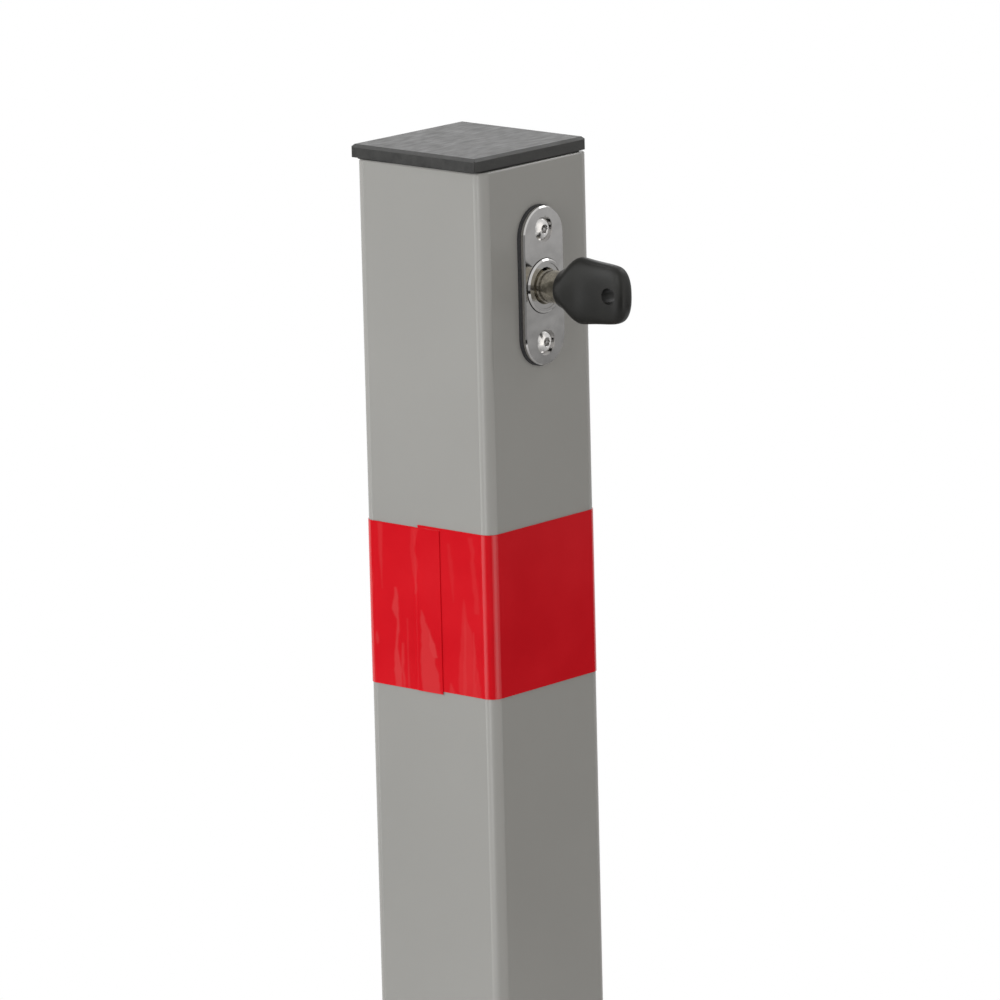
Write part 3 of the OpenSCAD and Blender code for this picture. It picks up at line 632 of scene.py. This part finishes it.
def drill_ring_hole(piece):
    """Cuts the hole for a key ring, then keeps the cut mesh and throws the drill away."""
    build = bmesh.new()
    across = Matrix.Rotation(math.pi / 2, 4, "Y")
    place = Matrix.Translation((0, key_low.y + RING_INSET, KEY_Z)) @ across
    bmesh.ops.create_cone(build, cap_ends=True, segments=40, radius1=RING_HOLE / 2,
                          radius2=RING_HOLE / 2, depth=DRILL_LENGTH, matrix=place)
    drill_mesh = bpy.data.meshes.new("drill")
    build.to_mesh(drill_mesh)
    build.free()
    drill = bpy.data.objects.new("drill", drill_mesh)
    bpy.context.scene.collection.objects.link(drill)
    cut = piece.modifiers.new("ring hole", "BOOLEAN")
    cut.operation = "DIFFERENCE"
    cut.object = drill
    bpy.context.view_layer.update()
    ready = piece.evaluated_get(bpy.context.evaluated_depsgraph_get())
    mesh = bpy.data.meshes.new_from_object(ready)
    piece.modifiers.clear()
    piece.data = mesh
    mesh.set_sharp_from_angle(angle=math.radians(50))
    bpy.data.objects.remove(drill)
    bpy.data.meshes.remove(drill_mesh)


def make_grip():
    points = [Vector((0, COLLAR_Y, KEY_Z))]
    for ring in GRIP:
        points += grip_ring(*ring)
    points.append(Vector((0, COLLAR_Y - GRIP[-1][0] * MM, KEY_Z)))
    faces = grid_faces(GRIP_AROUND, len(GRIP), 1, closed=True)
    end = len(points) - 1
    first = end - GRIP_AROUND
    for k in range(GRIP_AROUND):
        after = (k + 1) % GRIP_AROUND
        faces.append((0, 1 + after, 1 + k))
        faces.append((end, first + k, first + after))
    piece = make_piece("key_grip", points, faces, slot_of["key_bow"], "key", 60)
    rounder = piece.modifiers.new("rounder", "SUBSURF")
    rounder.levels = 2
    rounder.render_levels = 2
    drill_ring_hole(piece)
    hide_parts("key_bow")
    return piece


grip = make_grip()
print("grip is", [round(v, 1) for v in (grip.dimensions / MM)], "mm")

# %% [markdown]
# The cheeks and the keeper bar are welded to the base plate by hand. A plain fillet would hold
# the joint just as well to the eye from afar, but a real bead is a row of small frozen ripples
# that lean the way the torch went. So each bead is swept along its seam as a quarter round
# whose radius rises and falls, a little uneven, and runs out at both ends.

# %% Weld beads
PLATE_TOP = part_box("base_plate")[1].z
WELD_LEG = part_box("cheek_left")[0].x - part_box("base_welds")[0].x
WELD_STEP = 0.3 * MM
WELD_RIPPLE = 2.3 * MM
WELD_STOP = 2 * MM
WELD_ARC = 12
WELD_WANDER = 4 * MM


def weld_bead(start, end, out, points, faces):
    """Adds one bead along the corner from start to end; out points away from the wall."""
    length = (end - start).length
    along = (end - start) / length
    steps = round(length / WELD_STEP)
    first = len(points)
    for i in range(steps + 1):
        s = length * i / steps
        foot = start + along * s
        run_out = 1 - min(1, min(s, length - s) / WELD_LEG)
        size = WELD_LEG * math.sqrt(1 - 0.98 * run_out ** 2)
        size *= 0.96 + 0.03 * noise.noise(foot / WELD_WANDER)
        points.append(foot)
        for k in range(WELD_ARC + 1):
            angle = math.pi / 2 * k / WELD_ARC
            crown = math.sin(2 * angle)
            wave = math.cos(2 * math.pi * (s / WELD_RIPPLE + 0.45 * crown))
            r = size * (1 - 0.1 * crown + 0.045 * crown * wave)
            points.append(foot + out * (r * math.cos(angle)) + Vector((0, 0, r * math.sin(angle))))
    ring = WELD_ARC + 2
    faces += grid_faces(ring, steps + 1, first, closed=True)
    last = first + steps * ring
    faces.append(list(range(first, first + ring)))
    faces.append(list(range(last + ring - 1, last - 1, -1)))


def make_welds():
    points, faces = [], []
    for cheek, out in (("cheek_left", -1), ("cheek_right", 1)):
        low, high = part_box(cheek)
        x = low.x if out < 0 else high.x
        weld_bead(Vector((x, low.y + WELD_STOP, PLATE_TOP)),
                  Vector((x, high.y - WELD_STOP, PLATE_TOP)), Vector((out, 0, 0)), points, faces)
    low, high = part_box("keeper_bar")
    stop = 1.5 * WELD_STOP
    weld_bead(Vector((low.x + stop, low.y, PLATE_TOP)),
              Vector((high.x - stop, low.y, PLATE_TOP)), Vector((0, -1, 0)), points, faces)
    beads = make_piece("weld_beads", points, faces, slot_of["base_welds"], "base", 60)
    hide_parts("base_welds")
    return beads


welds = make_welds()
print("weld beads: leg", round(WELD_LEG / MM, 1), "mm,", len(welds.data.polygons), "faces")

# %% [markdown]
# Past the lock nut the pivot bolt shows a few turns of its thread. A picture of stripes would
# look flat against the light, so the tip is a real screw surface: the radius at each point
# depends on how far round and how far along it lies. The rest of the bolt is the model's own
# mesh, copied and cut off inside the nut.

# %% Thread of the pivot bolt
bolt_low, bolt_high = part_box("pivot_bolt")
THREAD_R = 5 * MM
THREAD_DEPTH = 0.85 * MM
THREAD_PITCH = 1.5 * MM
THREAD_TIP = 1 * MM
THREAD_AROUND = 72
THREAD_STEP = 0.1 * MM
NUT_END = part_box("pivot_nut")[1].x
THREAD_START = NUT_END - 2 * MM
BOLT_SMOOTH = 12


def thread_radius(turns, x):
    """Radius of an M10 thread, with flat crests and roots and a bevelled tip."""
    across = (x / THREAD_PITCH - turns) % 1
    flank = min(1, max(0, 3 * abs(across - 0.5) - 0.25))
    return min(THREAD_R - THREAD_DEPTH * flank, THREAD_R - THREAD_TIP + bolt_high.x - x)


def cut_bolt():
    """Points and faces of the model's bolt as far as the thread, with the cut closed."""
    build = bmesh.new()
    build.from_mesh(nodes["pivot_bolt"].data)
    bmesh.ops.remove_doubles(build, verts=build.verts, dist=JOIN_GAP)
    everything = build.verts[:] + build.edges[:] + build.faces[:]
    cut = bmesh.ops.bisect_plane(build, geom=everything, plane_co=(THREAD_START, 0, 0),
                                 plane_no=(1, 0, 0), clear_outer=True)
    rim = [e for e in cut["geom_cut"] if isinstance(e, bmesh.types.BMEdge)]
    bmesh.ops.holes_fill(build, edges=rim)
    build.verts.index_update()
    points = [v.co.copy() for v in build.verts]
    faces = [[v.index for v in f.verts] for f in build.faces]
    build.free()
    return points, faces


def make_bolt():
    points, faces = cut_bolt()
    rows = round((bolt_high.x - THREAD_START) / THREAD_STEP) + 1
    axis = (bolt_low + bolt_high) / 2
    first = len(points)
    for r in range(rows):
        x = THREAD_START + (bolt_high.x - THREAD_START) * r / (rows - 1)
        for k in range(THREAD_AROUND):
            radius = thread_radius(k / THREAD_AROUND, x)
            angle = 2 * math.pi * k / THREAD_AROUND
            points.append(Vector((x, axis.y + radius * math.cos(angle),
                                  axis.z + radius * math.sin(angle))))
    faces += grid_faces(THREAD_AROUND, rows, first, closed=True)
    faces.append(list(range(first + THREAD_AROUND - 1, first - 1, -1)))
    faces.append(list(range(first + (rows - 1) * THREAD_AROUND, first + rows * THREAD_AROUND)))
    bolt = make_piece("threaded_pivot_bolt", points, faces, slot_of["pivot_bolt"], "base",
                      BOLT_SMOOTH)
    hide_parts("pivot_bolt")
    return bolt


bolt = make_bolt()
print("bolt has", len(bolt.data.polygons), "faces, and its thread shows",
      round((bolt_high.x - NUT_END) / MM, 1), "mm past the nut")

# %% [markdown]
# The studio stands on a pale floor that takes the post's shadow. A plain sheet would end in a
# grey edge against the white room, so it fades to white with the distance from the post. The
# fade shows only to the camera and in reflections, which leaves the floor's own light alone.

# %% Floor
FLOOR_RADIUS = 1.5
FADE_START = 0.35
FADE_END = 1.35


def ray_is(tree, kinds):
    """One for the kinds of ray that are named, and zero for the others."""
    seen = tree.nodes.new("ShaderNodeLightPath")
    factor = seen.outputs[kinds[0]]
    for kind in kinds[1:]:
        either = tree.nodes.new("ShaderNodeMath")
        either.operation = "MAXIMUM"
        tree.links.new(factor, either.inputs[0])
        tree.links.new(seen.outputs[kind], either.inputs[1])
        factor = either.outputs["Value"]
    return factor


def floor_finish():
    material, shader = new_finish("pale floor", (0.8, 0.8, 0.8), 0.7)
    shader.inputs["Specular IOR Level"].default_value = 0.1
    tree = material.node_tree
    white = tree.nodes.new("ShaderNodeEmission")
    place = tree.nodes.new("ShaderNodeTexCoord")
    length = tree.nodes.new("ShaderNodeVectorMath")
    length.operation = "LENGTH"
    fade = tree.nodes.new("ShaderNodeMapRange")
    fade.interpolation_type = "SMOOTHSTEP"
    fade.inputs["From Min"].default_value = FADE_START
    fade.inputs["From Max"].default_value = FADE_END
    both = tree.nodes.new("ShaderNodeMath")
    both.operation = "MULTIPLY"
    blend = tree.nodes.new("ShaderNodeMixShader")
    link = tree.links.new
    link(place.outputs["Object"], length.inputs[0])
    link(length.outputs["Value"], fade.inputs["Value"])
    link(ray_is(tree, ["Is Camera Ray", "Is Glossy Ray"]), both.inputs[0])
    link(fade.outputs["Result"], both.inputs[1])
    link(both.outputs["Value"], blend.inputs["Fac"])
    link(shader.outputs["BSDF"], blend.inputs[1])
    link(white.outputs["Emission"], blend.inputs[2])
    link(blend.outputs["Shader"], tree.nodes["Material Output"].inputs["Surface"])
    return material


def make_floor():
    mesh = bpy.data.meshes.new("floor")
    build = bmesh.new()
    bmesh.ops.create_circle(build, cap_ends=True, radius=FLOOR_RADIUS, segments=96)
    build.to_mesh(mesh)
    build.free()
    mesh.materials.append(floor_finish())
    floor = bpy.data.objects.new("floor", mesh)
    bpy.context.scene.collection.objects.link(floor)
    floor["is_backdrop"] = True


make_floor()
print("floor radius", FLOOR_RADIUS, "m, white beyond", FADE_END, "m")

# %% [markdown]
# All round is a white room. One white world for everything would light the post as evenly as
# fog, so the world is white only where the camera, a mirror or glass looks at it, and dimmer
# as a light, so that colours render about as they are written.

# %% White room
ROOM_LIGHT = 0.27


def make_world():
    world = bpy.data.worlds.new("white room")
    bpy.context.scene.world = world
    world.use_nodes = True
    tree = world.node_tree
    dim = tree.nodes["Background"]
    dim.inputs["Color"].default_value = (1, 1, 1, 1)
    dim.inputs["Strength"].default_value = ROOM_LIGHT
    white = tree.nodes.new("ShaderNodeBackground")
    white.inputs["Color"].default_value = (1, 1, 1, 1)
    blend = tree.nodes.new("ShaderNodeMixShader")
    link = tree.links.new
    looked_at = ray_is(tree, ["Is Camera Ray", "Is Glossy Ray", "Is Transmission Ray"])
    link(looked_at, blend.inputs["Fac"])
    link(dim.outputs["Background"], blend.inputs[1])
    link(white.outputs["Background"], blend.inputs[2])
    link(blend.outputs["Shader"], tree.nodes["World Output"].inputs["Surface"])


make_world()
print("the room lights the post at", ROOM_LIGHT, "of what the camera sees")

# %% [markdown]
# A large soft box stands on each side, and a second one on the left makes that side the
# stronger, which gives the two faces their two tones. Low strips serve the gloss of upright
# faces, which mirror what is lower than they are, because the camera looks down a little. Sun
# lamps would do for the tones, but only a lamp with a shape leaves a shape in the gloss. Three
# weaker lamps behind and above keep the far sides and the top from falling dark.

# %% Lamps
WARM = (1, 0.955, 0.9)
UPRIGHT_BOXES = [
    # name, side in degrees, distance, foot, top, width, power, colour
    ("left soft box", -36, 1.8, 0.42, 2.0, 1.1, 14, (1, 1, 1)),
    ("low left strip", -23, 1.8, -0.3, 0.4, 0.96, 2.4, (1, 1, 1)),
    ("high left box", 12, 1.9, 0.5, 2.1, 0.6, 12, (1, 1, 1)),
    ("right soft box", 101, 2.0, 0.42, 2.0, 1.8, 6.2, WARM),
    ("low right strip", 90, 1.8, -0.3, 0.4, 0.85, 2.3, WARM),
]
AIMED_BOXES = [
    # name, place, size, power
    ("low back box", (1.5, 1.25, 1.15), (1.2, 0.7), 2),
    ("high back box", (-0.38, 1.14, 2.04), (0.6, 0.6), 4),
    ("high right box", (1.34, -0.36, 1.83), (0.6, 0.6), 4),
]
LAMP_TARGET = (0, 0, 0.7)


def soft_box(name, place, target, size, power, colour=(1, 1, 1)):
    data = bpy.data.lights.new(name, "AREA")
    data.shape = "RECTANGLE"
    data.size, data.size_y = size
    data.energy = power
    data.color = colour
    lamp = bpy.data.objects.new(name, data)
    bpy.context.scene.collection.objects.link(lamp)
    lamp.location = place
    lamp.rotation_euler = (Vector(target) - Vector(place)).to_track_quat("-Z", "Y").to_euler()


def around_post(side, distance, height):
    """A place round the post; side is counted from the left face's normal towards the front."""
    angle = math.radians(side)
    return (-distance * math.cos(angle), -distance * math.sin(angle), height)


def upright_box(name, side, distance, foot, top, width, power, colour):
    middle = (foot + top) / 2
    place = around_post(side, distance, middle)
    soft_box(name, place, (0, 0, middle), (width, top - foot), power, colour)


for row in UPRIGHT_BOXES:
    upright_box(*row)
for name, place, size, power in AIMED_BOXES:
    soft_box(name, place, LAMP_TARGET, size, power)

# %% [markdown]
# Polished metal in a white room looks like paper, and glossy film looks milky. The materials
# could be made darker, but then their highlights would fade too. A studio stands dark cards
# round them instead, so that only the gaps between the cards show as highlights. These are seen
# in reflections alone. Their grey grows lighter towards the top, which gives the plate a slope
# from dark to bright.

# %% Finish of a dark card
CARD_FOOT = -0.3
CARD_TOP = 0.8
CARDS = [
    # name, side in degrees, distance, width, dark grey, light grey, where the slope starts, ends
    ("left card", -49, 1.6, 0.86, 0.02, 0.1, 0.3, 0.8),
    ("middle card", 34, 1.6, 1.8, 0.01, 0.35, 0.24, 0.3),
    ("right card", 143, 1.6, 0.9, 0.04, 0.66, 0.22, 0.4),
]


def card_finish(name, stops):
    """A glow that goes from one grey to another between two heights."""
    material = bpy.data.materials.new(name)
    material.use_nodes = True
    tree = material.node_tree
    tree.nodes.remove(tree.nodes["Principled BSDF"])
    glow = tree.nodes.new("ShaderNodeEmission")
    place = tree.nodes.new("ShaderNodeTexCoord")
    parts = tree.nodes.new("ShaderNodeSeparateXYZ")
    slope = tree.nodes.new("ShaderNodeValToRGB")
    for stop, (grey, height) in zip(slope.color_ramp.elements, stops):
        stop.color = (grey, grey, grey, 1)
        stop.position = (height - CARD_FOOT) / (CARD_TOP - CARD_FOOT)
    tree.links.new(place.outputs["Generated"], parts.inputs["Vector"])
    tree.links.new(parts.outputs["Y"], slope.inputs["Fac"])
    tree.links.new(slope.outputs["Color"], glow.inputs["Color"])
    tree.links.new(glow.outputs["Emission"], tree.nodes["Material Output"].inputs["Surface"])
    return material


print("a dark card goes from", CARD_FOOT, "to", CARD_TOP, "m in height")

# %% [markdown]
# A card is one upright sheet, as the real ones are sheets of board. A box would do as well, but
# nothing ever sees its other sides. Each faces the post and is hidden from the camera.

# %% Dark cards
def make_card(name, side, distance, width, dark, light, slope_start, slope_end):
    middle = (CARD_FOOT + CARD_TOP) / 2
    across, up = width / 2, (CARD_TOP - CARD_FOOT) / 2
    mesh = bpy.data.meshes.new(name)
    corners = [(-across, -up, 0), (across, -up, 0), (across, up, 0), (-across, up, 0)]
    mesh.from_pydata(corners, [], [(0, 1, 2, 3)])
    mesh.materials.append(card_finish(name, [(dark, slope_start), (light, slope_end)]))
    card = bpy.data.objects.new(name, mesh)
    bpy.context.scene.collection.objects.link(card)
    card.location = around_post(side, distance, middle)
    turn = (Vector((0, 0, middle)) - card.location).to_track_quat("Z", "Y")
    card.rotation_euler = turn.to_euler()
    card.visible_camera = card.visible_diffuse = card.visible_shadow = False
    card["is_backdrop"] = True


for row in CARDS:
    make_card(*row)
print("cards:", ", ".join(row[0] for row in CARDS))

# %% [markdown]
# Last, the dressed post is measured against the bare model. Both boxes should be the same, since
# a new piece that stands out further than the solid it replaces would change the part's size.

# %% Sizes and finish
visual_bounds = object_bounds()
grown = max(abs(a - b) for old, new in zip(cad_bounds, visual_bounds) for a, b in zip(old, new))
print("largest difference from the model's box:", round(grown / MM, 3), "mm")
